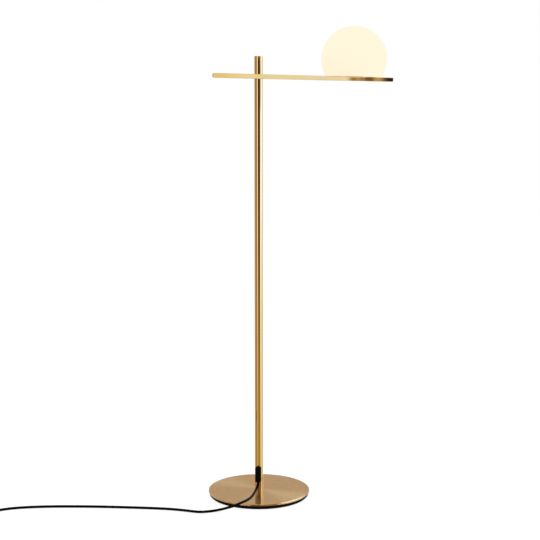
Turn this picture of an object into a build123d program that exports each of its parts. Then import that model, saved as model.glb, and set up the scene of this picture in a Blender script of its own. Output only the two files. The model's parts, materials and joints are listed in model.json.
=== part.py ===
from build123d import *
import os
from math import asin, cos, degrees, pi, radians, sin, sqrt, tan

# Floor lamp: a round weighted foot, an upright pole, a flat arm across the front of the pole and an opal
# globe standing on the arm. Millimetres. The origin is on the floor under the pole's axis, +Z is up and
# +X runs along the arm to the globe.

# Foot
base_diameter = 300.0
base_height = 16.0
cover_sheet = 1.5
cover_rim = 5.0
cover_edge = 1.5
weight_inset = 3.0
weight_edge = 1.0
pad_thickness = 2.0
pad_inset = 2.0
bolt_diameter = 10.0
bolt_head_width = 17.0
bolt_head_height = 5.5
bolt_reach = 22.0
washer_diameter = 30.0
washer_thickness = 1.5
pocket_room = 1.0
foot_plug_height = 30.0

# Pole
pole_diameter = 25.0
pole_wall = 1.5
pole_above_arm = 58.5
cap_thickness = 2.0
cap_edge = 0.5
cap_spigot = 6.0

# Swivel between the pole and its head
seam_below_arm = 15.0
spindle_diameter = 14.0
spindle_bore = 8.0
running_fit = 0.04
axial_play = 0.1
bush_length = 40.0
swivel_washer_thickness = 0.6
swivel_washer_width = 1.8
head_plug_height = 10.0
spindle_washer_thickness = 0.8
spindle_washer_diameter = 20.0
spindle_nut_height = 6.0
spindle_nut_width = 17.5
stop_pin_diameter = 2.0
stop_pin_seat = 4.0
stop_groove_depth = 4.0
stop_groove_room = 0.2
swivel_each_way = 165.0

# Arm
arm_height = 1233.0
arm_tall = 13.0
arm_depth = 10.0
arm_wall = 1.2
arm_corner = 1.0
arm_least_corner = 0.5
arm_left = 152.0
arm_right = 445.0
arm_end_length = 6.0
arm_end_round = 4.5
arm_end_spigot = 8.0
arm_gap = 1.0
spacer_diameter = 11.0
stud_diameter = 8.0
stud_bore = 5.0
stud_in_arm = 3.0
stud_nut_width = 13.0
stud_nut_height = 4.0
stud_past_nut = 1.0
boss_length = 18.0
lead_diameter = 4.0
lead_bend = 3.0
lead_hole_room = 1.5

# Globe and lamp
globe_diameter = 195.4
globe_wall = 3.0
globe_flat_drop = 50.0
globe_corner = 5.0
globe_hole = 64.0
globe_along_arm = 309.0
globe_play = 0.05
glass_pad_thickness = 0.8
glass_pad_length = 26.0
glass_pad_width = 4.6
cup_diameter = 60.0
cup_height = 14.0
cup_floor = 2.0
cup_wall = 2.0
cup_screw_diameter = 4.0
cup_screw_head = 7.6
cup_screw_head_height = 2.4
cup_screw_offset = 20.0
cup_screw_reach = 2.0
spring_sheet = 0.4
spring_width = 8.0
spring_bow = 1.2
spring_foot = 2.5
spring_count = 3
lamp_holder_diameter = 28.0
lamp_holder_neck = 25.0
lamp_holder_height = 33.0
lamp_holder_base = 12.0
socket_diameter = 14.6
socket_depth = 26.0
bulb_cap_diameter = 13.9
bulb_cap_tip = 2.0
bulb_diameter = 45.0
bulb_rise = 54.0

# Cord outlet low on the pole
outlet_angle = -125.0
outlet_low = 41.5
outlet_high = 87.8
outlet_width = 16.8
outlet_reach = 22.6
outlet_edge = 1.6
outlet_corner = 2.0
outlet_crown = 4.5
outlet_spigot = 9.8
outlet_nut_diameter = 14.0
outlet_nut_height = 3.0
outlet_past_nut = 0.5
pole_lead_diameter = 5.0
lead_meeting_gap = 0.3

# Cord: its free stretch, from the outlet over the foot and along the floor to the switch
cord_diameter = 7.5
bend_share = 0.45
cord_route = [
    (-9.75, -13.93, 41.5),
    (-9.75, -13.93, 33),
    (-14, -18, 26),
    (-22, -23.5, 21.5),
    (-34, -35.5, 20.2),
    (-52, -55, 20.1),
    (-74, -79, 21.3),
    (-95, -103, 27.3),
    (-117.5, -114.5, 26.5),
    (-140.5, -111.5, 17),
    (-161, -103, 10),
    (-183, -95, 5.5),
    (-206, -89, 4),
    (-233, -80.5, 3.9),
    (-258.5, -53, 3.9),
    (-291.5, -22, 3.9),
    (-340.5, 13, 3.9),
    (-401, 52, 3.9),
    (-471, 95.5, 3.9),
    (-542, 134.5, 3.9),
    (-592, 159.5, 3.9),
    (-638, 178.5, 3.9),
    (-680, 191.5, 3.9),
    (-708.5, 196, 3.9),
    (-733, 194, 4.5),
    (-753, 188, 5.45),
    (-770, 188, 5.45),
]

# Coil of the rest of the cord, held by a tie
coil_turns = 2
coil_climb = 0.5
coil_gap = 0.7
coil_middle_diameter = 80.0
coil_from_switch = 46.0
coil_steps = 4
tie_thickness = 1.2
tie_width = 10.0
tie_room = 0.6

# Foot switch on the cord
switch_length = 84.0
switch_width = 36.0
switch_top = 22.0
switch_split = 9.2
switch_wall = 1.8
switch_corner = 9.0
switch_edge = 2.5
switch_sleeve_length = 20.0
switch_sleeve_diameter = 10.6
switch_sleeve_end_diameter = 9.0
switch_foot_height = 1.2
switch_foot_diameter = 8.0
switch_foot_inset = 11.0
switch_screw_diameter = 2.8
switch_screw_head = 6.0
switch_screw_head_height = 0.9
switch_screw_offset = 31.0
switch_screw_end = 16.0
switch_post_diameter = 6.4
button_diameter = 20.0
button_flange = 2.0
button_flange_height = 2.4
button_rise = 2.5
button_edge = 0.8
button_room = 0.3
module_length = 26.0
module_width = 18.0
module_top = 9.0
spring_coil_diameter = 9.0
spring_wire = 0.8
spring_coils = 4

# Plug
plug_length = 36.0
plug_width = 34.0
plug_thickness = 13.7
plug_neck_width = 13.0
plug_waist_width = 17.0
plug_waist_at = 16.0
plug_grip_at = 24.0
plug_corner = 4.0
plug_edge = 1.5
plug_tail = 20.0
plug_tail_end = 9.6
plug_from_coil = 46.0
pin_diameter = 4.0
pin_length = 19.0
pin_spacing = 19.0
pin_seat = 9.0
pin_tip_round = 0.8
floor_clearance = 0.1

# Places worked out from the sizes
base_r = base_diameter / 2
weight_r = base_r - weight_inset
cover_under = base_height - cover_sheet
bolt_r = bolt_diameter / 2
pocket_top = pad_thickness + pocket_room + bolt_head_height + washer_thickness

pole_r = pole_diameter / 2
pole_bore_r = pole_r - pole_wall
pole_top = arm_height + pole_above_arm
arm_bottom = arm_height - arm_tall / 2
arm_top = arm_height + arm_tall / 2
arm_y = -(pole_r + arm_gap + arm_depth / 2)
arm_back = arm_y + arm_depth / 2
seam = arm_bottom - seam_below_arm
head_low = seam + swivel_washer_thickness + axial_play
spindle_r = spindle_diameter / 2
bush_low = seam - bush_length
spindle_washer_low = bush_low - axial_play - spindle_washer_thickness
spindle_low = spindle_washer_low - spindle_nut_height
stop_pin_r = stop_pin_diameter / 2
stop_circle_r = (spindle_r + running_fit + pole_bore_r) / 2

globe_r = globe_diameter / 2
globe_low = arm_top + glass_pad_thickness + globe_play
globe_height = globe_low + globe_flat_drop
cup_r = cup_diameter / 2
cup_floor_top = arm_top + cup_floor
holder_top = cup_floor_top + lamp_holder_height
lead_r = lead_diameter / 2
lead_hole_r = lead_r + lead_hole_room

outlet_middle = (outlet_low + outlet_high) / 2
outlet_nut_seat = sqrt(pole_bore_r**2 - (outlet_nut_diameter / 2) ** 2)
outlet_spigot_end = outlet_nut_seat - outlet_nut_height - outlet_past_nut

cord_r = cord_diameter / 2
cord_x, cord_y, cord_low = cord_route[-1]
switch_right = cord_x - switch_sleeve_length
switch_x = switch_right - switch_length / 2
switch_left = switch_right - switch_length
coil_start_x = switch_left - switch_sleeve_length
coil_pitch = cord_diameter + coil_gap
coil_end = 2 * coil_turns + coil_climb
coil_outer_r = (coil_middle_diameter + coil_pitch * coil_end / 2) / 2
coil_inner_r = coil_outer_r - coil_pitch * coil_end / 2
coil_x = coil_start_x - coil_from_switch
coil_y = cord_y - coil_outer_r
coil_high = cord_low + coil_pitch
plug_z = plug_thickness / 2 + floor_clearance
plug_x = coil_x + plug_from_coil + plug_tail
plug_y = coil_y - coil_outer_r

pieces = {}


def disc(radius, low, high, x=0.0, y=0.0):
    """An upright cylinder between two heights."""
    upright = (Align.CENTER, Align.CENTER, Align.MIN)
    return Pos(x, y, low) * Cylinder(radius, high - low, align=upright)


def ring(outer, inner, low, high, x=0.0, y=0.0):
    return disc(outer, low, high, x, y) - disc(inner, low, high, x, y)


def rod_y(radius, back, front, z):
    """A cylinder along Y on the pole's centre plane, from back towards the front at -Y."""
    return Pos(0, (back + front) / 2, z) * Rot(90, 0, 0) * Cylinder(radius, back - front)


def rod_x(radius, start, end, y, z):
    return Pos((start + end) / 2, y, z) * Rot(0, 90, 0) * Cylinder(radius, end - start)


def block(size_x, size_y, low, high, x=0.0, y=0.0):
    upright = (Align.CENTER, Align.CENTER, Align.MIN)
    return Pos(x, y, low) * Box(size_x, size_y, high - low, align=upright)


def rounded_block(size_x, size_y, corner, low, high, x=0.0, y=0.0):
    return extrude(Pos(x, y, low) * RectangleRounded(size_x, size_y, corner), high - low)


def hexagon(width, low, high):
    return extrude(Pos(0, 0, low) * RegularPolygon(width / 2, 6, major_radius=False), high - low)


def group(solids):
    return Compound(children=list(solids))


def tube(path, radius):
    """A round tube along a path, with its volume set against section times length."""
    solid = sweep(Plane(path @ 0, z_dir=path % 0) * Circle(radius), path=path)
    share = solid.volume / (pi * radius**2 * path.length)
    print("  volume share", round(share, 4), "length", round(path.length, 1))
    return solid


def bend_radii(points):
    """For each corner of a route, the largest arc that its two runs leave room for."""
    spots = [Vector(*point) for point in points]
    radii = []
    for before, here, after in zip(spots, spots[1:], spots[2:]):
        turn = (here - before).get_angle(after - here)
        shorter = min((here - before).length, (after - here).length)
        radii.append(bend_share * shorter / tan(radians(turn / 2)))
    return radii


def biarc(start, start_way, end, end_way):
    """Two tangent arcs that leave one point in its direction and reach the next in its own."""
    span = end - start
    bend = 2 * (1 - start_way.dot(end_way))
    along = span.dot(start_way + end_way)
    across = span.dot(span)
    if bend > 1e-9:
        reach = (sqrt(along**2 + bend * across) - along) / bend
    else:
        reach = across / (2 * along)
    first_corner, last_corner = start + start_way * reach, end - end_way * reach
    middle = (first_corner + last_corner) / 2
    return [
        TangentArc(start, middle, tangent=start_way),
        TangentArc(middle, end, tangent=last_corner - first_corner),
    ]


def biarc_chain(stations):
    """Tangent arcs through a list of (point, direction)."""
    edges = []
    for (start, start_way), (end, end_way) in zip(stations, stations[1:]):
        edges += biarc(start, start_way, end, end_way)
    return edges


def least_gap(path, diameter):
    """The least room between a tube's surface and its own other turns, measured on points."""
    steps_per_diameter, neighbours = 2, 3
    count = int(steps_per_diameter * path.length / diameter)
    spots = [path @ (i / count) for i in range(count + 1)]
    apart = steps_per_diameter * neighbours
    return min(
        (spots[i] - spots[j]).length - diameter
        for i in range(len(spots))
        for j in range(i + apart, len(spots))
    )


def foot():
    shell = disc(base_r, base_height - cover_rim, base_height)
    shell = fillet(shell.edges().group_by(Axis.Z)[-1], cover_edge)
    shell -= disc(base_r - cover_sheet, base_height - cover_rim, cover_under)
    pieces["base_cover"] = shell - disc(bolt_r, cover_under, base_height)

    weight = disc(weight_r, pad_thickness, cover_under)
    weight = chamfer(weight.edges().group_by(Axis.Z)[0], weight_edge)
    weight -= disc(washer_diameter / 2 + pocket_room, pad_thickness, pocket_top)
    pieces["base_weight"] = weight - disc(bolt_r, pocket_top, cover_under)
    pieces["base_pad"] = disc(weight_r - weight_edge - pad_inset, 0, pad_thickness)

    washer_low = pocket_top - washer_thickness
    pieces["base_washer"] = ring(washer_diameter / 2, bolt_r, washer_low, pocket_top)
    head = hexagon(bolt_head_width, washer_low - bolt_head_height, washer_low)
    pieces["base_bolt"] = head + disc(bolt_r, washer_low, base_height + bolt_reach)

    plug = disc(pole_bore_r, base_height, base_height + foot_plug_height)
    pieces["pole_foot_plug"] = plug - disc(bolt_r, base_height, base_height + bolt_reach)


def pole():
    tube_wall = ring(pole_r, pole_bore_r, base_height, seam)
    side_hole = Rot(0, 0, outlet_angle) * rod_x(outlet_spigot / 2, 0, pole_diameter, 0, outlet_middle)
    pieces["pole_tube"] = tube_wall - side_hole

    top = pole_top - cap_thickness
    head = ring(pole_r, pole_bore_r, head_low, top)
    pieces["head_tube"] = head - rod_y(stud_diameter / 2, 0, -pole_diameter, arm_height)
    cap = disc(pole_r, top, pole_top)
    cap = chamfer(cap.edges().group_by(Axis.Z)[-1], cap_edge)
    pieces["head_cap"] = cap + disc(pole_bore_r, top - cap_spigot, top)


def swivel():
    """The spindle of the head turns in a bush in the pole, and a pin in a groove stops it."""
    bush = ring(pole_bore_r, spindle_r + running_fit, bush_low, seam)
    groove_half = stop_pin_r + stop_groove_room
    groove = ring(stop_circle_r + groove_half, stop_circle_r - groove_half, seam - stop_groove_depth, seam)
    half_block = radians(180 - swivel_each_way) - asin(groove_half / stop_circle_r)
    reach = pole_diameter
    slice_face = Polyline(
        (0, 0), (-reach, reach * tan(half_block)), (-reach, -reach * tan(half_block)), close=True
    )
    stop_block = extrude(Pos(0, 0, seam - stop_groove_depth) * make_face(slice_face), stop_groove_depth)
    pieces["swivel_bush"] = bush - (groove - stop_block)
    pieces["swivel_washer"] = ring(
        pole_r, pole_r - swivel_washer_width, seam, seam + swivel_washer_thickness
    )

    spindle = disc(pole_bore_r, head_low, head_low + head_plug_height)
    spindle += disc(spindle_r, spindle_low, head_low)
    spindle -= disc(spindle_bore / 2, spindle_low, head_low + head_plug_height)
    pin_top = head_low + stop_pin_seat
    pin = disc(stop_pin_r, seam - stop_groove_depth + stop_groove_room, pin_top, stop_circle_r)
    pieces["spindle"] = spindle - pin
    pieces["stop_pin"] = pin
    nut_top = spindle_washer_low
    pieces["spindle_washer"] = ring(
        spindle_washer_diameter / 2, spindle_r, nut_top, nut_top + spindle_washer_thickness
    )
    pieces["spindle_nut"] = hexagon(spindle_nut_width, spindle_low, nut_top) - disc(
        spindle_r, spindle_low, nut_top
    )


def arm_section(shrink):
    """The arm's rounded rectangle, drawn in by shrink on every side."""
    corner = max(arm_corner - shrink, arm_least_corner)
    return Pos(arm_y, arm_height) * RectangleRounded(arm_depth - 2 * shrink, arm_tall - 2 * shrink, corner)


def arm_run(shrink, start, end):
    return extrude(Plane.YZ.offset(start) * arm_section(shrink), end - start)


def arm_end(tip, way):
    """A pressed-in end piece whose corners are rounded in front view; way is +1 or -1 along X."""
    seat = tip - way * arm_end_length
    low, high = min(tip, seat), max(tip, seat)
    front = Pos((low + high) / 2, arm_height) * Rectangle(arm_end_length, arm_tall)
    outer = front.vertices().sort_by(Axis.X)[-2:] if way > 0 else front.vertices().sort_by(Axis.X)[:2]
    front = fillet(outer, arm_end_round)
    slab = extrude(Plane.XZ.offset(-arm_y) * front, arm_depth / 2, both=True)
    spigot_end = seat - way * arm_end_spigot
    spigot = arm_run(arm_wall, min(seat, spigot_end), max(seat, spigot_end))
    return (slab & arm_run(0, low, high)) + spigot


def arm():
    left_seat = arm_end_length - arm_left
    right_seat = arm_right - arm_end_length
    wall = arm_run(0, left_seat, right_seat) - arm_run(arm_wall, left_seat, right_seat)
    wall -= rod_y(stud_diameter / 2, arm_back, arm_back - arm_wall, arm_height)
    top_wall = arm_top - arm_wall
    wall -= disc(lead_hole_r, top_wall, arm_top, globe_along_arm, arm_y)
    for side in (-1, 1):
        screw_x = globe_along_arm + side * cup_screw_offset
        wall -= disc(cup_screw_diameter / 2, top_wall, arm_top, screw_x, arm_y)
    pieces["arm_tube"] = wall
    pieces["arm_end_left"] = arm_end(-arm_left, -1)
    pieces["arm_end_right"] = arm_end(arm_right, 1)

    inner_back = arm_back - arm_wall
    inner_front = arm_y - arm_depth / 2 + arm_wall
    stud_front = inner_back - stud_in_arm
    boss = arm_run(arm_wall, -boss_length / 2, boss_length / 2)
    boss -= rod_y(stud_diameter / 2, inner_back, stud_front, arm_height)
    channel_y = (stud_front + inner_front) / 2
    channel_tall = lead_diameter + lead_hole_room
    channel = block(
        boss_length / 2 + lead_hole_r,
        stud_front - inner_front,
        arm_height - channel_tall / 2,
        arm_height + channel_tall / 2,
        boss_length / 4 - lead_hole_r / 2,
        channel_y,
    )
    pieces["arm_boss"] = boss - channel

    nut_seat = -sqrt(pole_bore_r**2 - (stud_nut_width / 2 / cos(radians(30))) ** 2)
    nut_inner = nut_seat + stud_nut_height
    stud = rod_y(stud_diameter / 2, nut_inner + stud_past_nut, stud_front, arm_height)
    pieces["arm_stud"] = stud - rod_y(stud_bore / 2, nut_inner + stud_past_nut, stud_front, arm_height)
    nut = Pos(0, nut_inner, arm_height) * Rot(90, 0, 0) * hexagon(stud_nut_width, 0, stud_nut_height)
    pieces["stud_nut"] = nut - rod_y(stud_diameter / 2, nut_inner, nut_seat, arm_height)
    spacer = rod_y(spacer_diameter / 2, 0, arm_back, arm_height) - disc(pole_r, arm_bottom, arm_top)
    pieces["arm_spacer"] = spacer - rod_y(stud_diameter / 2, 0, arm_back, arm_height)

    route = [
        (0, 0, spindle_low),
        (0, 0, arm_height),
        (0, channel_y, arm_height),
        (globe_along_arm - arm_depth, channel_y, arm_height),
        (globe_along_arm, arm_y, arm_height),
        (globe_along_arm, arm_y, cup_floor_top),
    ]
    turns = [lead_bend, (stud_front - inner_front) / 2, lead_bend, lead_bend]
    print("arm lead")
    pieces["arm_lead"] = tube(FilletPolyline(*route, radius=turns), lead_r)


def flat_ball(radius, low):
    """A ball at the globe's height, cut flat at its foot, with the cut's edge rounded."""
    edge_r = sqrt(radius**2 - (globe_height - low) ** 2)
    top = globe_height + radius
    dome = ThreePointArc((edge_r, low), (radius, globe_height), (0, top))
    sides = Polyline((0, top), (0, low), (edge_r, low))
    half = make_face([*dome.edges(), *sides.edges()])
    half = fillet(half.vertices().sort_by(Axis.X)[-1], globe_corner)
    return revolve(Plane.XZ * half, Axis.Z)


def lamp():
    x, y = globe_along_arm, arm_y
    cup = disc(cup_r, arm_top, arm_top + cup_height, x, y)
    cup -= disc(cup_r - cup_wall, cup_floor_top, arm_top + cup_height, x, y)
    cup -= disc(lead_hole_r, arm_top, cup_floor_top, x, y)
    screws = []
    for side in (-1, 1):
        screw_x = x + side * cup_screw_offset
        shank_low = arm_top - arm_wall - cup_screw_reach
        cup -= disc(cup_screw_diameter / 2, arm_top, cup_floor_top, screw_x, y)
        head = disc(cup_screw_head / 2, cup_floor_top, cup_floor_top + cup_screw_head_height, screw_x, y)
        screws.append(head + disc(cup_screw_diameter / 2, shank_low, cup_floor_top, screw_x, y))
    pieces["globe_cup"] = cup
    pieces["cup_screws"] = group(screws)

    flat_r = sqrt(globe_r**2 - globe_flat_drop**2) - globe_corner
    pad_middle = (globe_hole / 2 + flat_r) / 2
    pad_top = arm_top + glass_pad_thickness
    pieces["glass_pads"] = group(
        block(glass_pad_length, glass_pad_width, arm_top, pad_top, x + side * pad_middle, y)
        for side in (-1, 1)
    )

    spring_high = arm_top + cup_height
    bow_height = (globe_low + globe_wall + spring_high) / 2
    bow = Polyline(
        (cup_r, spring_high),
        (cup_r, spring_high - spring_foot),
        (cup_r + spring_bow, bow_height),
        (cup_r, globe_low + globe_wall),
        (cup_r + spring_sheet, globe_low + globe_wall),
        (cup_r + spring_bow + spring_sheet, bow_height),
        (cup_r + spring_sheet, spring_high - spring_foot),
        (cup_r + spring_sheet, spring_high),
        close=True,
    )
    leaf = extrude(Plane.XZ * make_face(bow), spring_width / 2, both=True)
    pieces["globe_springs"] = group(
        Pos(x, y, 0) * Rot(0, 0, 90 + 360 * i / spring_count) * leaf for i in range(spring_count)
    )

    base_top = cup_floor_top + lamp_holder_base
    holder = disc(lamp_holder_diameter / 2, cup_floor_top, base_top, x, y)
    holder += disc(lamp_holder_neck / 2, base_top, holder_top, x, y)
    socket_low = holder_top - socket_depth
    pieces["lamp_holder"] = holder - disc(socket_diameter / 2, socket_low, holder_top, x, y)

    cap_r = bulb_cap_diameter / 2
    cap_low = socket_low + bulb_cap_tip
    pieces["bulb_cap"] = disc(cap_r, cap_low, holder_top, x, y) + disc(cap_r / 2, socket_low, cap_low, x, y)
    bulb_r = bulb_diameter / 2
    bulb_z = holder_top + bulb_rise - bulb_r
    meet = degrees(asin(cap_r / bulb_r)) - 90
    neck_angle = meet / 2
    neck = (bulb_r * cos(radians(neck_angle)), bulb_z + bulb_r * sin(radians(neck_angle)))
    dome = ThreePointArc(neck, (bulb_r, bulb_z), (0, bulb_z + bulb_r))
    side = Polyline((0, bulb_z + bulb_r), (0, holder_top), (cap_r, holder_top), neck)
    bulb_face = make_face([*dome.edges(), *side.edges()])
    pieces["bulb_dome"] = Pos(x, y, 0) * revolve(Plane.XZ * bulb_face, Axis.Z)

    inside_low = globe_low + globe_wall
    shell = flat_ball(globe_r, globe_low) - flat_ball(globe_r - globe_wall, inside_low)
    pieces["globe"] = Pos(x, y, 0) * (shell - disc(globe_hole / 2, globe_low, inside_low))


def outlet():
    """The strain relief shoe on the pole, made facing +X and then turned to its place."""
    front = Pos(0, outlet_middle) * Rectangle(outlet_width, outlet_high - outlet_low)
    front = fillet(front.vertices().sort_by(Axis.Y)[:2], outlet_corner)
    front = fillet(front.vertices().sort_by(Axis.Y)[-2:], outlet_crown)
    shoe = extrude(Plane.YZ * front, outlet_reach)
    shoe = fillet(shoe.edges().group_by(Axis.X)[-1], outlet_edge)
    shoe -= disc(pole_r, outlet_low, outlet_high)
    spigot = rod_x(outlet_spigot / 2, outlet_spigot_end, pole_r + pole_wall, 0, outlet_middle)
    turn = Rot(0, 0, outlet_angle)
    pieces["cord_outlet"] = turn * (shoe + spigot)
    nut_end = outlet_nut_seat - outlet_nut_height
    nut = rod_x(outlet_nut_diameter / 2, nut_end, outlet_nut_seat, 0, outlet_middle)
    pieces["outlet_nut"] = turn * (nut - rod_x(outlet_spigot / 2, nut_end, outlet_nut_seat, 0, outlet_middle))

    lead_top = spindle_low - lead_meeting_gap
    route = FilletPolyline(
        (outlet_spigot_end, 0, outlet_middle),
        (0, 0, outlet_middle),
        (0, 0, lead_top),
        radius=outlet_spigot_end * 2 * bend_share,
    )
    print("pole lead")
    pieces["pole_lead"] = turn * tube(route, pole_lead_diameter / 2)


def coil_spot(turn):
    """A place on the coil, so many turns from its start on the outside of the lower layer."""
    share = min(max(turn - coil_turns, 0), coil_climb) / coil_climb
    radius = coil_inner_r + coil_pitch * abs(turn - coil_end / 2)
    angle = pi / 2 + 2 * pi * turn
    rise = coil_pitch * share**2 * (3 - 2 * share)
    return Vector(coil_x + radius * cos(angle), coil_y + radius * sin(angle), cord_low + rise)


def coil_station(turn):
    step = 1e-4
    way = coil_spot(min(turn + step, coil_end)) - coil_spot(max(turn - step, 0))
    return coil_spot(turn), way.normalized()


def cord():
    radii = bend_radii(cord_route)
    print("cord bend radii", [round(radius) for radius in radii])
    print("cord free stretch")
    pieces["cord_free"] = tube(FilletPolyline(*cord_route, radius=radii), cord_r)

    leave, arrive = Vector(-1, 0, 0), Vector(1, 0, 0)
    start = Vector(coil_start_x, cord_y, cord_low)
    finish = Vector(plug_x - plug_tail, plug_y, plug_z)
    count = round(coil_end * coil_steps)
    stations = [(start + leave * cord_diameter, leave)]
    stations += [coil_station(i / coil_steps) for i in range(count + 1)]
    stations += [(finish - arrive * cord_diameter, arrive)]
    path = Wire(
        [Line(start, stations[0][0]), *biarc_chain(stations), Line(stations[-1][0], finish)]
    )
    print("cord coil, least gap to itself", round(least_gap(path, cord_diameter), 2))
    pieces["cord_coil"] = tube(path, cord_r)

    reach = coil_outer_r - coil_inner_r + cord_diameter + 2 * tie_room
    low, high = cord_low - cord_r - tie_room / 2, coil_high + cord_r + tie_room
    middle_x = coil_x - (coil_outer_r + coil_inner_r) / 2
    strap = Pos(middle_x, (low + high) / 2) * (
        RectangleRounded(reach + 2 * tie_thickness, high - low + 2 * tie_thickness, cord_r)
        - RectangleRounded(reach, high - low, cord_r - tie_thickness)
    )
    pieces["coil_tie"] = extrude(Plane.XZ.offset(-coil_y) * strap, tie_width / 2, both=True)


def switch():
    x, y = switch_x, cord_y
    inner_length, inner_width = switch_length - 2 * switch_wall, switch_width - 2 * switch_wall
    inner_corner = switch_corner - switch_wall
    floor_top = switch_foot_height + switch_wall
    screw_r = switch_screw_diameter / 2
    sides = [x - switch_screw_offset, x + switch_screw_offset]

    tray = rounded_block(switch_length, switch_width, switch_corner, switch_foot_height, switch_split, x, y)
    tray -= rounded_block(inner_length, inner_width, inner_corner, floor_top, switch_split, x, y)
    cover = rounded_block(switch_length, switch_width, switch_corner, switch_split, switch_top, x, y)
    cover = fillet(cover.edges().group_by(Axis.Z)[-1], switch_edge)
    under = switch_top - switch_wall
    cover -= rounded_block(inner_length, inner_width, inner_corner, switch_split, under, x, y)
    cover -= disc(button_diameter / 2 + button_room, under, switch_top, x, y)
    screws = []
    for screw_x in sides:
        tray -= disc(screw_r, switch_foot_height, floor_top, screw_x, y)
        cover += disc(switch_post_diameter / 2, switch_split, under, screw_x, y)
        cover -= disc(screw_r, switch_split, switch_screw_end, screw_x, y)
        head_low_z = switch_foot_height - switch_screw_head_height
        head = disc(switch_screw_head / 2, head_low_z, switch_foot_height, screw_x, y)
        screws.append(head + disc(screw_r, switch_foot_height, switch_screw_end, screw_x, y))
    pieces["switch_base"] = tray
    pieces["switch_cover"] = cover
    pieces["switch_screws"] = group(screws)
    foot_x, foot_y = switch_length / 2 - switch_foot_inset, switch_width / 2 - switch_foot_inset
    pieces["switch_feet"] = group(
        disc(switch_foot_diameter / 2, 0, switch_foot_height, x + i * foot_x, y + j * foot_y)
        for i in (-1, 1)
        for j in (-1, 1)
    )
    sleeve = Cone(switch_sleeve_diameter / 2, switch_sleeve_end_diameter / 2, switch_sleeve_length)
    sleeve_middle = (switch_length + switch_sleeve_length) / 2
    pieces["switch_sleeves"] = group(
        Pos(x + side * sleeve_middle, y, cord_low) * Rot(0, side * 90, 0) * sleeve for side in (-1, 1)
    )
    pieces["switch_module"] = block(module_length, module_width, floor_top, module_top, x, y)

    flange_top = under - axial_play
    flange_low = flange_top - button_flange_height
    button = disc(button_diameter / 2, flange_low, switch_top + button_rise, x, y)
    button = fillet(button.edges().group_by(Axis.Z)[-1], button_edge)
    button += disc(button_diameter / 2 + button_flange, flange_low, flange_top, x, y)
    pieces["switch_button"] = button

    wire_r = spring_wire / 2
    low, high = module_top + wire_r, flange_low - wire_r - axial_play
    radius = spring_coil_diameter / 2

    def spring_spot(turn):
        angle = 2 * pi * turn
        share = turn / spring_coils
        return Vector(x + radius * cos(angle), y + radius * sin(angle), low + (high - low) * share)

    def spring_station(turn):
        slope = (high - low) / spring_coils / (2 * pi * radius)
        angle = 2 * pi * turn
        return spring_spot(turn), Vector(-sin(angle), cos(angle), slope).normalized()

    stations = [spring_station(i / coil_steps) for i in range(spring_coils * coil_steps + 1)]
    path = Wire(biarc_chain(stations))
    print("switch spring, least gap to itself", round(least_gap(path, spring_wire), 2))
    pieces["switch_spring"] = tube(path, wire_r)


def plug():
    half, waist, neck = plug_width / 2, plug_waist_width / 2, plug_neck_width / 2
    edge = [(0, neck), (plug_waist_at, waist), (plug_grip_at, half), (plug_length, half)]
    other_edge = [(x, -y) for x, y in reversed(edge)]
    plan = Pos(plug_x, 0) * make_face(Polyline(*edge, *other_edge, close=True))
    plan = fillet(plan.vertices().sort_by(Axis.X)[2:], plug_corner)
    body = extrude(Pos(0, plug_y, floor_clearance) * plan, plug_thickness)
    body = fillet(body.edges().group_by(Axis.Z)[-1] + body.edges().group_by(Axis.Z)[0], plug_edge)
    tail = Pos(plug_x - plug_tail / 2, plug_y, plug_z) * Rot(0, 90, 0)
    body += tail * Cone(plug_tail_end / 2, neck - floor_clearance, plug_tail)
    pin_start, pin_end = plug_x + plug_length - pin_seat, plug_x + plug_length + pin_length
    pins = []
    for side in (-1, 1):
        pin = rod_x(pin_diameter / 2, pin_start, pin_end, plug_y + side * pin_spacing / 2, plug_z)
        body -= pin
        pins.append(fillet(pin.edges().sort_by(Axis.X)[-1], pin_tip_round))
    pieces["plug_body"] = body
    pieces["plug_pins"] = group(pins)


for make in (foot, pole, swivel, arm, lamp, outlet, cord, switch, plug):
    make()

os.makedirs("parts", exist_ok=True)
for name, solid in pieces.items():
    export_step(solid, f"parts/{name}.step")
print(len(pieces), "pieces")
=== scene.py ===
import json
from math import cos, pi, radians, sin

import bpy
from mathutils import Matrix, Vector


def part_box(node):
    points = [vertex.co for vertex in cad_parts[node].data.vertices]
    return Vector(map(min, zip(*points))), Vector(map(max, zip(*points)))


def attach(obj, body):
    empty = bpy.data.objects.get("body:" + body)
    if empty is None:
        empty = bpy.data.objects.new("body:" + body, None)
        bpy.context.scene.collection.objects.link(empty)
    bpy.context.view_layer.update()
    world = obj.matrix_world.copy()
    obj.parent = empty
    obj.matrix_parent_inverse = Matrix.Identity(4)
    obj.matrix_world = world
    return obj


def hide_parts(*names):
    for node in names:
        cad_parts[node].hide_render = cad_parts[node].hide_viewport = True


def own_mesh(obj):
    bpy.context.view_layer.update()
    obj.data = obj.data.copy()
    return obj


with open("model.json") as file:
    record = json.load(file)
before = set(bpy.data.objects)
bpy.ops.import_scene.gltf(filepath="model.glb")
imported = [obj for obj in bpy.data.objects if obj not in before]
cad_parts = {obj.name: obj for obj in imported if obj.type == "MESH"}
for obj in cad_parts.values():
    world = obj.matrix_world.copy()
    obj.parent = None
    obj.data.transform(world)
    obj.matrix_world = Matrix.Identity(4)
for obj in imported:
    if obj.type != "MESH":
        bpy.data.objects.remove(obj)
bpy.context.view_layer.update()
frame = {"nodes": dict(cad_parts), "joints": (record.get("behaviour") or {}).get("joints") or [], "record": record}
nodes = frame["nodes"]
up = Vector((0, 0, 1))
along_arm = Vector((1, 0, 0))

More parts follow.
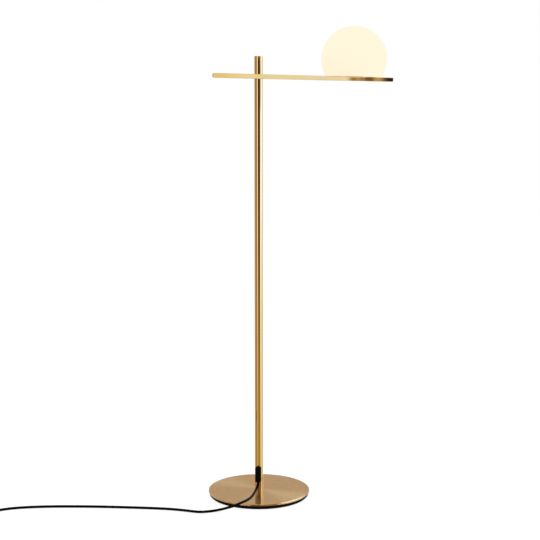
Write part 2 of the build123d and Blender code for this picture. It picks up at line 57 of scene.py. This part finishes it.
# Camera: turned about the pole, standing back and a little right of it, and looking slightly down
view_turn = radians(27.364)
view_pitch = radians(6.786)
camera_back = 3.36344
camera_right = 0.03295
camera_height = 1.07503
image_width = 540
focal_pixels = 1157.49
view_right = Vector((cos(view_turn), -sin(view_turn), 0))
view_away = Vector((sin(view_turn), cos(view_turn), 0))

# Cord: from the outlet low on the pole, over the foot and along the floor to its switch
cord_diameter = 0.0075
cord_line_steps = 8
cord_round_steps = 7
cord_route = [
    (-0.00975, -0.01393, 0.0415),
    (-0.00975, -0.01393, 0.0335),
    (-0.0135, -0.0145, 0.026),
    (-0.020, -0.0205, 0.0213),
    (-0.0295, -0.0325, 0.020),
    (-0.045, -0.0535, 0.01995),
    (-0.066, -0.078, 0.01995),
    (-0.0885, -0.0955, 0.01995),
    (-0.1075, -0.106, 0.0203),
    (-0.1245, -0.1105, 0.0182),
    (-0.143, -0.1055, 0.0123),
    (-0.163, -0.099, 0.0076),
    (-0.185, -0.094, 0.0046),
    (-0.208, -0.090, 0.0039),
    (-0.234, -0.082, 0.0039),
    (-0.2585, -0.054, 0.0039),
    (-0.2915, -0.022, 0.0039),
    (-0.3405, 0.013, 0.0039),
    (-0.401, 0.052, 0.0039),
    (-0.471, 0.0955, 0.0039),
    (-0.542, 0.1345, 0.0039),
    (-0.592, 0.1595, 0.0039),
    (-0.638, 0.1785, 0.0039),
    (-0.68, 0.1915, 0.0039),
    (-0.7085, 0.196, 0.0039),
    (-0.733, 0.194, 0.0045),
    (-0.753, 0.188, 0.00545),
    (-0.77, 0.188, 0.00545),
]

# Coil: two layers of turns, spiralling in on the lower one and out on the upper one. It leaves the switch's
# sleeve straight and comes down to the plug's tail, where each point has its distance from the tail and the
# share of the coil's height that is left.
coil_layer_turns = 2
coil_climb = 0.5
coil_pitch = 0.0082
coil_middle_diameter = 0.080
coil_from_switch = 0.046
points_per_turn = 16
sleeve_leads = [0, 2 * cord_diameter, 4 * cord_diameter]
plug_leads = [(5 * cord_diameter, 0.8), (3 * cord_diameter, 0.2), (1.5 * cord_diameter, 0), (0, 0)]

# Floor: its top lies just under the foot
floor_half = 8.0
floor_drop = 0.0004

# Soft light: to the right of the lamp, behind it and above it
light_place = view_right * 1.9 + view_away * 1.1 + up * 2.4
light_aim = Vector((0.1, 0, 0.6))
light_size = 1.6
light_power = 12

# Studio that the brass mirrors, in degrees round from the camera's side and up from the horizon.
# A wall has its turn from, to and softness, its colour at eye level and its colour near the floor.
plain_wall = (0.76, 0.74, 0.70)
floor_light_heights = (3.0, -17.0)
walls = [
    ((-105, -62, 10), (0.33, 0.24, 0.15), (0.38, 0.28, 0.17)),
    ((-66, -41, 4), (0.46, 0.30, 0.13), (0.55, 0.44, 0.21)),
    ((-41, -17, 3), (1.30, 1.18, 1.22), (0.72, 0.56, 0.26)),
    ((-18, 42, 1), (0.02, 0.01, 0.00), (0.44, 0.31, 0.11)),
    ((42, 74, 1), (1.45, 1.62, 1.75), (0.95, 0.85, 0.56)),
    ((74, 114, 4), (1.20, 1.58, 2.50), (0.92, 0.95, 0.92)),
    ((114, 180, 4), (0.68, 0.78, 0.97), (0.60, 0.63, 0.68)),
]
ceiling = (0.60, 0.57, 0.54)
ceiling_heights = (6.0, 14.0)
overhead = (1.00, 0.97, 0.92)
overhead_heights = (35.0, 55.0)

# Panels before the walls: turn from, to and softness, height from, to and softness, and colour. The arm's
# front mirrors those at its own heights.
arm_heights = (1.2, 5.5, 0.5)
panels = [
    ((42, 54, 1.5), arm_heights, (0.95, 0.88, 0.50)),
    ((53, 57.5, 1.5), arm_heights, (0.98, 1.05, 1.00)),
    ((56.3, 58.7, 0.7), arm_heights, (0.96, 1.07, 1.20)),
    ((58.6, 59.32, 0.12), arm_heights, (0.33, 0.19, 0.06)),
    ((59.32, 59.9, 0.05), arm_heights, (0.16, 0.08, 0.03)),
    ((58.98, 59.08, 0.06), arm_heights, (1.00, 0.75, 0.50)),
    ((59.8, 60.5, 0.05), arm_heights, (0.66, 0.52, 0.28)),
    ((60.22, 63.5, 0.2), (-2.0, 5.5, 0.5), (0.02, 0.015, 0.012)),
    ((-18, 42, 1), (3.7, 9, 0.03), (0.70, 0.62, 0.48)),
    ((40, 58, 2), (6.5, 60, 2), (0.25, 0.22, 0.18)),
    ((40, 63, 2), (-80, -21, 2), (0.25, 0.20, 0.15)),
    ((74, 114, 4), (-40, -5, 5), (0.92, 0.95, 0.92)),
    ((-37, 3, 2), (9, 60, 5), (0.17, 0.09, 0.02)),
    ((3, 43, 2), (9, 28, 4), (0.05, 0.02, 0.00)),
    ((-37, 3, 1.5), (-40, -17.4, 0.3), (0.23, 0.10, 0.01)),
    ((-115, -75, 5), (-40, -17.2, 0.3), (0.85, 0.80, 0.65)),
    ((58, 92, 4), (10, 34, 4), (1.7, 2.0, 2.1)),
]

# Soft box above and behind the lamp, and the angles from its middle where it starts and is full
softbox = (2.1, 2.8, 3.3)
softbox_way = view_right * 0.46 + view_away * 0.72 + up * 0.52
softbox_edge = radians(22)
softbox_core = radians(6)

# Pieces whose finish differs from the rest of their slot: the arm's brass and the shinier black
arm_pieces = ["arm_tube", "arm_end_left", "arm_end_right"]
shiny_black_pieces = ["switch_base", "switch_cover", "switch_button", "plug_body", "coil_tie"]


class Tap:
    """An output socket. Arithmetic on it adds Math nodes to its tree."""

    def __init__(self, graph, socket):
        self.graph = graph
        self.socket = socket

    def math(self, operation, *others):
        return self.graph.node("Math", {"operation": operation}, dict(enumerate((self, *others))))

    def __add__(self, other):
        return self.math("ADD", other)

    __radd__ = __add__

    def __mul__(self, other):
        return self.math("MULTIPLY", other)

    __rmul__ = __mul__

    def __sub__(self, other):
        return self.math("SUBTRACT", other)

    def __rsub__(self, other):
        return self.graph.node("Math", {"operation": "SUBTRACT"}, {0: other, 1: self})


class Graph:
    """A node tree that is filled from empty."""

    def __init__(self, tree):
        self.tree = tree
        tree.nodes.clear()

    def node(self, kind, settings, inputs, output=0):
        """Adds a node with its settings and its sockets' values or links, and gives one of its outputs."""
        made = self.tree.nodes.new("ShaderNode" + kind)
        for name, value in settings.items():
            setattr(made, name, value)
        for name, value in inputs.items():
            self.feed(made.inputs[name], value)
        return Tap(self, made.outputs[output]) if made.outputs else made

    def feed(self, socket, value):
        if isinstance(value, Tap):
            self.tree.links.new(value.socket, socket)
        elif socket.type == "RGBA":
            socket.default_value = (*value, 1)
        else:
            socket.default_value = value

    def mix(self, share, first, second):
        """One colour passing into another."""
        return self.node("Mix", {"data_type": "RGBA"}, {0: share, 6: first, 7: second}, 2)

    def smooth(self, value, low, high):
        """A soft step from 0 at low to 1 at high."""
        ends = {"Value": value, "From Min": low, "From Max": high}
        return self.node("MapRange", {"interpolation_type": "SMOOTHSTEP"}, ends)

    def band(self, value, start, end, soft):
        """1 between start and end, passing softly into 0 at both."""
        rise = self.smooth(value, start - soft, start + soft)
        return rise * (1 - self.smooth(value, end - soft, end + soft))

    def noise(self, place, scale, detail):
        return self.node("TexNoise", {}, {"Vector": place, "Scale": scale, "Detail": detail})

    def stretched(self, place, stretch):
        """Coordinates multiplied apart along the three axes."""
        return self.node("VectorMath", {"operation": "MULTIPLY"}, {0: place, 1: stretch})

    def along(self, place, way):
        return self.node("VectorMath", {"operation": "DOT_PRODUCT"}, {0: place, 1: way}, "Value")


class Finish(Graph):
    """A surface finish: one main shader whose sockets are set to numbers or fed from nodes."""

    def __init__(self, name, **sockets):
        self.name = name
        self.material = bpy.data.materials.new(name)
        self.material.use_nodes = True
        super().__init__(self.material.node_tree)
        surface = self.node("BsdfPrincipled", {}, {})
        self.shader = surface.socket.node
        self.node("OutputMaterial", {}, {"Surface": surface})
        self.place = self.node("TexCoord", {}, {}, "Object")
        self.set(**sockets)

    def set(self, **sockets):
        for name, value in sockets.items():
            self.feed(self.shader.inputs[name.replace("_", " ")], value)

    def bump(self, height, distance):
        relief = {"Strength": 1.0, "Distance": distance, "Height": height}
        self.set(Normal=self.node("Bump", {}, relief, "Normal"))


def grey(level):
    return (level, level, level)


def polished_brass(name, draw):
    """Drawn tube, polished and lacquered; draw stretches its faint lines along the tube."""
    brass = Finish(name, Metallic=1.0)
    lines = brass.noise(brass.stretched(brass.place, draw), 1.0, 3.0)
    clouds = brass.noise(brass.place, 14.0, 4.0)
    brass.set(
        Base_Color=brass.mix(clouds, (0.80, 0.565, 0.27), (0.86, 0.635, 0.33)),
        Roughness=0.03 * (0.6 + 0.5 * lines + 0.3 * clouds),
    )
    brass.bump(lines, 0.0000002)
    return brass


def brushed_brass():
    """Satin brass, brushed in circles about the pole."""
    brass = Finish("brushed_brass", Metallic=1.0, Anisotropic=1.0, Anisotropic_Rotation=0.25)
    brass.set(Specular_Tint=(0.95, 0.86, 0.70))
    x = brass.along(brass.place, (1, 0, 0))
    y = brass.along(brass.place, (0, 1, 0))
    radius = (x * x + y * y).math("SQRT")
    turn = y.math("ARCTAN2", x)

    def marks(across, around, detail):
        """Brush marks, so many to a metre across and to a radian around."""
        spot = brass.node("CombineXYZ", {}, {"X": radius * across, "Y": turn * around})
        return brass.noise(spot, 1.0, detail)

    fine = marks(1600.0, 3.0, 4.0)
    streaks = marks(420.0, 9.0, 3.0)
    passes = marks(110.0, 5.0, 2.0)
    grain = brass.noise(brass.place, 420.0, 3.0)
    tone = 0.3 * fine + 0.25 * streaks + 0.25 * passes + 0.2 * grain
    brass.set(
        Base_Color=brass.mix(brass.smooth(tone, 0.3, 0.7), (0.64, 0.42, 0.225), (0.82, 0.56, 0.315)),
        Roughness=0.14 + 0.08 * fine + 0.04 * streaks,
    )
    brass.bump(fine + 0.4 * grain, 0.00001)
    return brass


def turned_brass():
    """Brass as it comes from the lathe, with fine rings."""
    brass = Finish("turned_brass", Metallic=1.0)
    rings = brass.noise(brass.stretched(brass.place, (60, 60, 2600)), 1.0, 2.0)
    brass.set(
        Base_Color=brass.mix(rings, (0.66, 0.46, 0.22), (0.78, 0.57, 0.29)),
        Roughness=0.18 + 0.14 * rings,
    )
    brass.bump(rings, 0.00003)
    return brass


def black_iron():
    """Cast weight under black stoving paint."""
    iron = Finish("black_iron", Specular_IOR_Level=0.05)
    pits = iron.noise(iron.place, 700.0, 4.0)
    dust = iron.noise(iron.place, 40.0, 5.0)
    iron.set(
        Base_Color=iron.mix(dust, grey(0.001), grey(0.003)),
        Roughness=0.42 + 0.22 * pits,
    )
    iron.bump(pits, 0.00012)
    return iron


def steel(name, dark, light, rough):
    """Plated steel with fine turning lines and a cloudy plating."""
    metal = Finish(name, Metallic=1.0)
    lines = metal.noise(metal.stretched(metal.place, (80, 80, 1800)), 1.0, 2.0)
    clouds = metal.noise(metal.place, 160.0, 3.0)
    metal.set(
        Base_Color=metal.mix(clouds, dark, light),
        Roughness=rough + 0.12 * lines,
    )
    metal.bump(lines, 0.00002)
    return metal


def opal_glass():
    """Satin opal glass, lit from inside; low down on the pole's side the glow is a little warmer, a painted
    reflection of the brass.
    """
    # How high up and how far towards the pole's side the painted warm reflection of the brass reaches
    painted_warm_height = 0.6
    painted_warm_side = (-0.040, -0.005)
    glass = Finish("opal_glass", Specular_IOR_Level=0.0, Emission_Strength=1.0)
    low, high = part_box("globe")
    height = glass.along(glass.place, up)
    side = glass.along(glass.place, along_arm) - (low.x + high.x) / 2
    cloud = glass.noise(glass.place, 11.0, 2.0)
    # Painted warm reflection of the brass: the glow is tinted warmer low down and on the pole's side
    painted_warm_light = (1 - glass.smooth(height, low.z, low.z + painted_warm_height * (high.z - low.z))) * cloud
    painted_warm_light = painted_warm_light * (1 - glass.smooth(side, *painted_warm_side))
    satin = glass.noise(glass.place, 900.0, 2.0)
    glass.set(
        Base_Color=glass.mix(painted_warm_light, (0.03, 0.028, 0.022), (0.03, 0.026, 0.02)),
        Emission_Color=glass.mix(painted_warm_light, (0.98, 0.905, 0.70), (0.96, 0.83, 0.63)),
        Roughness=0.45 + 0.15 * satin,
    )
    glass.bump(satin, 0.00001)
    return glass


def bulb_diffuser():
    """The bulb's dome, brighter towards its top."""
    dome = Finish("bulb_diffuser", Roughness=0.4, Emission_Strength=3.0)
    low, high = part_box("bulb_dome")
    height = dome.along(dome.place, up)
    share = dome.smooth(height, low.z, high.z)
    dome.set(
        Base_Color=dome.mix(share, (0.82, 0.80, 0.74), (0.90, 0.88, 0.82)),
        Emission_Color=dome.mix(share, (0.80, 0.62, 0.38), (1.0, 0.90, 0.70)),
    )
    return dome


def moulded(name, dark, light, rough, grain=900.0, depth=0.00004, gloss=0.5):
    """Moulded plastic, rubber or sprayed lacquer with a fine spark texture."""
    plastic = Finish(name, Specular_IOR_Level=gloss)
    spark = plastic.noise(plastic.place, grain, 3.0)
    flow = plastic.noise(plastic.place, 30.0, 3.0)
    plastic.set(
        Base_Color=plastic.mix(flow, dark, light),
        Roughness=rough + 0.16 * spark,
    )
    plastic.bump(spark, depth)
    return plastic


def make_finishes():
    """A material for each slot in the record, one for the arm's brass and one for the shinier black."""
    black = grey(0.001)
    soot = grey(0.003)
    made = [
        polished_brass("polished_brass", draw=(700, 700, 4)),
        polished_brass("arm_brass", draw=(4, 700, 700)),
        brushed_brass(),
        turned_brass(),
        black_iron(),
        steel("zinc_steel", (0.50, 0.51, 0.52), (0.64, 0.65, 0.66), 0.30),
        steel("spring_steel", (0.44, 0.44, 0.45), (0.56, 0.56, 0.57), 0.22),
        steel("nickel_plate", (0.66, 0.64, 0.60), (0.76, 0.74, 0.70), 0.12),
        opal_glass(),
        bulb_diffuser(),
        moulded("white_lacquer", (0.80, 0.78, 0.72), (0.86, 0.84, 0.78), 0.35, grain=300.0),
        moulded("lamp_holder_plastic", (0.70, 0.69, 0.65), (0.78, 0.77, 0.73), 0.30),
        moulded("black_plastic", black, soot, 0.38, gloss=0.06),
        moulded("switch_black", soot, grey(0.009), 0.30, gloss=0.35),
        moulded("black_pvc", black, soot, 0.30, grain=1400.0, depth=0.00002, gloss=0.03),
        moulded("inner_lead", (0.70, 0.69, 0.64), (0.80, 0.79, 0.75), 0.30),
        moulded("silicone", (0.62, 0.60, 0.55), (0.72, 0.70, 0.65), 0.45),
        moulded("black_pad", grey(0.006), grey(0.012), 0.75, grain=500.0, depth=0.0002, gloss=0.2),
    ]
    return {finish.name: finish.material for finish in made}


def dress(finishes):
    """Gives each CAD node the finish of its slot, or its own where it has one."""
    own = dict.fromkeys(arm_pieces, "arm_brass") | dict.fromkeys(shiny_black_pieces, "switch_black")
    for row in frame["record"]["subparts"]:
        skin = nodes[row["node"]].data.materials
        skin.clear()
        skin.append(finishes[own.get(row["node"], row["material_slot"])])


def make_camera():
    data = bpy.data.cameras.new("camera")
    data.lens = focal_pixels / image_width * data.sensor_width
    camera = bpy.data.objects.new("camera", data)
    camera.location = view_right * camera_right - view_away * camera_back + up * camera_height
    camera.rotation_euler = (pi / 2 - view_pitch, 0, -view_turn)
    bpy.context.collection.objects.link(camera)
    bpy.context.scene.camera = camera


def make_cord(name, route, finish):
    """A round cord on one smooth line through a route."""
    data = bpy.data.curves.new(name, "CURVE")
    data.dimensions = "3D"
    line = data.splines.new("NURBS")
    line.points.add(len(route) - 1)
    for point, spot in zip(line.points, route):
        point.co = (*spot, 1)
    line.order_u = 3
    line.use_endpoint_u = True
    line.resolution_u = cord_line_steps
    data.bevel_depth = cord_diameter / 2
    data.bevel_resolution = cord_round_steps
    data.use_fill_caps = True
    data.materials.append(finish)
    cord = bpy.data.objects.new(name, data)
    bpy.context.collection.objects.link(cord)
    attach(cord, "stand")
    return cord


def coil_route():
    """From the switch's sleeve round the coil and down to the plug's tail."""
    sleeves_low, sleeves_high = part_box("switch_sleeves")
    plug_low, plug_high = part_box("plug_body")
    start = Vector((sleeves_low.x, *((sleeves_low + sleeves_high) / 2).yz))
    tail = Vector((plug_low.x, *((plug_low + plug_high) / 2).yz))
    turns = 2 * coil_layer_turns + coil_climb
    inner = (coil_middle_diameter - coil_pitch * turns / 2) / 2
    outer = inner + coil_pitch * turns / 2
    centre = start - Vector((coil_from_switch, outer, 0))
    route = [start - along_arm * lead for lead in sleeve_leads]
    for i in range(round(turns * points_per_turn) + 1):
        turn = i / points_per_turn
        share = min(max(turn - coil_layer_turns, 0), coil_climb) / coil_climb
        radius = inner + coil_pitch * abs(turn - turns / 2)
        rise = coil_pitch * share**2 * (3 - 2 * share)
        angle = pi / 2 + 2 * pi * turn
        route.append(centre + Vector((radius * cos(angle), radius * sin(angle), rise)))
    drop = route[-1].z - tail.z
    for lead, share in plug_leads:
        route.append(tail + Vector((-lead, 0, share * drop)))
    return route


def seat_spring(finish):
    """The spring under the switch's button, copied from its CAD node and carried with the stand."""
    spring = bpy.data.objects.new("button_spring", nodes["switch_spring"].data.copy())
    spring.data.materials.clear()
    spring.data.materials.append(finish)
    bpy.context.collection.objects.link(spring)
    low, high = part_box("switch_spring")
    travel = next(joint["range_m"][1] for joint in frame["joints"] if joint["name"] == "switch_press")
    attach(spring, "stand")
    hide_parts("switch_spring")
    1 - travel / (high.z - low.z)
    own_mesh(spring)
    return spring


def lay_cords(finish, spring):
    """The run to the switch, which the satin foot doesn't mirror, and the coil to the plug."""
    free = make_cord("cord_to_switch", cord_route, finish)
    free.visible_glossy = False
    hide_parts("cord_free")
    route = coil_route()
    coil = make_cord("cord_to_plug", route, finish)
    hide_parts("cord_coil")


def make_light():
    """A soft square light aimed at the middle of the lamp."""
    data = bpy.data.lights.new("soft_light", "AREA")
    data.size = light_size
    data.energy = light_power
    light = bpy.data.objects.new("soft_light", data)
    light.location = light_place
    light.rotation_euler = (light_aim - light_place).to_track_quat("-Z", "Y").to_euler()
    bpy.context.collection.objects.link(light)


def make_floor():
    """A pale floor that glows a little, so that shadows stay faint. The brass doesn't mirror it."""
    data = bpy.data.meshes.new("floor")
    sides = ((-1, -1), (1, -1), (1, 1), (-1, 1))
    corners = [(x * floor_half, y * floor_half, -floor_drop) for x, y in sides]
    data.from_pydata(corners, [], [(0, 1, 2, 3)])
    pale = Finish("pale_floor", Roughness=0.9, Specular_IOR_Level=0.0, Emission_Strength=1.0)
    wash = pale.noise(pale.place, 1.5, 2.0)
    pale.set(Base_Color=pale.mix(wash, grey(0.27), grey(0.30)), Emission_Color=grey(0.80))
    data.materials.append(pale.material)
    floor = bpy.data.objects.new("floor", data)
    floor.visible_glossy = False
    bpy.context.collection.objects.link(floor)


def make_room():
    """A white studio, in which the brass mirrors the walls, the ceiling, the panels and the soft box."""
    world = bpy.data.worlds.new("studio")
    world.use_nodes = True
    bpy.context.scene.world = world
    room = Graph(world.node_tree)
    way = room.node("TexCoord", {}, {}, "Generated")
    turn = room.along(way, view_right).math("ARCTAN2", room.along(way, -view_away)) * (180 / pi)
    height = room.along(way, up).math("ARCSINE") * (180 / pi)
    floor_light = room.smooth(height, *floor_light_heights)
    floor_light = floor_light * floor_light
    mirrored = plain_wall
    for turns, above, below in walls:
        wall = room.mix(floor_light, above, below)
        mirrored = room.mix(room.band(turn, *turns), mirrored, wall)
    mirrored = room.mix(room.smooth(height, *ceiling_heights), mirrored, ceiling)
    mirrored = room.mix(room.smooth(height, *overhead_heights), mirrored, overhead)
    for turns, heights, colour in panels:
        panel = room.band(turn, *turns) * room.band(height, *heights)
        mirrored = room.mix(panel, mirrored, colour)
    near_softbox = room.smooth(room.along(way, softbox_way), cos(softbox_edge), cos(softbox_core))
    mirrored = room.mix(near_softbox, mirrored, softbox)
    shine = room.node("LightPath", {}, {}, "Is Glossy Ray")
    back = room.node("Background", {}, {"Color": room.mix(shine, grey(1), mirrored)})
    room.node("OutputWorld", {}, {"Surface": back})


make_camera()
finishes = make_finishes()
lay_cords(finishes["black_pvc"], seat_spring(finishes["spring_steel"]))
dress(finishes)
make_floor()
make_room()
make_light()
bpy.context.scene.view_settings.view_transform = "Standard"
